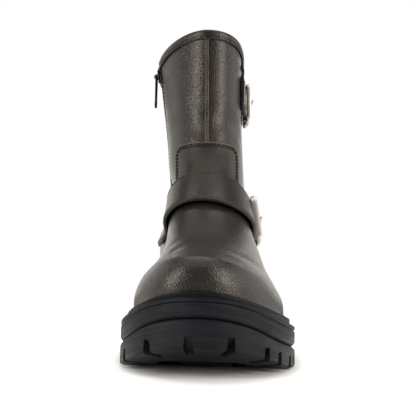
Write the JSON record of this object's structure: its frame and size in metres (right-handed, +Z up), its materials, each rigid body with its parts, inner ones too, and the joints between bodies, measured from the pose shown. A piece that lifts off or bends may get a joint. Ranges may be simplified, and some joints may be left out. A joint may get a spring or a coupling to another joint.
{
  "type": "biker ankle boot",
  "caption": "Left biker ankle boot: hollow leather upper on a lugged rubber sole, with an instep strap, a shaft strap, buckles and an inner side zip.",
  "frame": {"origin": "on the floor, at the bottom centre of the boot's box", "axes": "+Z up, the toe along -Y, the outer side of the left foot along +X"},
  "size_m": [0.1042, 0.2814, 0.2341],
  "materials": {
    "sole_rubber": "matte black moulded rubber with fine lines along its side",
    "lining": "dark textile lining",
    "leather": "dark grey-brown leather with a fine pebble grain and a soft sheen",
    "elastic": "black ribbed elastic",
    "zip_metal": "black gunmetal",
    "buckle_nickel": "brushed nickel, slightly worn"
  },
  "bodies": {
    "boot": {"outsole": "sole_rubber", "midsole": "sole_rubber", "welt": "sole_rubber", "insole": "lining", "upper": "leather", "instep_panel": "leather", "collar_binding": "leather", "elastic_gore": "elastic", "zip_chain": "zip_metal", "zip_slider": "zip_metal", "instep_strap": "leather", "instep_chape": "leather", "instep_buckle_frame": "buckle_nickel", "instep_buckle_prong": "buckle_nickel", "shaft_strap": "leather", "shaft_chape": "leather", "shaft_buckle_frame": "buckle_nickel", "shaft_buckle_prong": "buckle_nickel"},
    "pull_tab": {"zip_pull": "zip_metal"}
  },
  "joints": [
    {"name": "zip_pull_hinge", "type": "hinge", "parent": "boot", "child": "pull_tab", "pos_m": [-0.04717, 0.0659, 0.21053], "axis": [0, 1, 0], "range_deg": [-5, 150]}
  ]
}
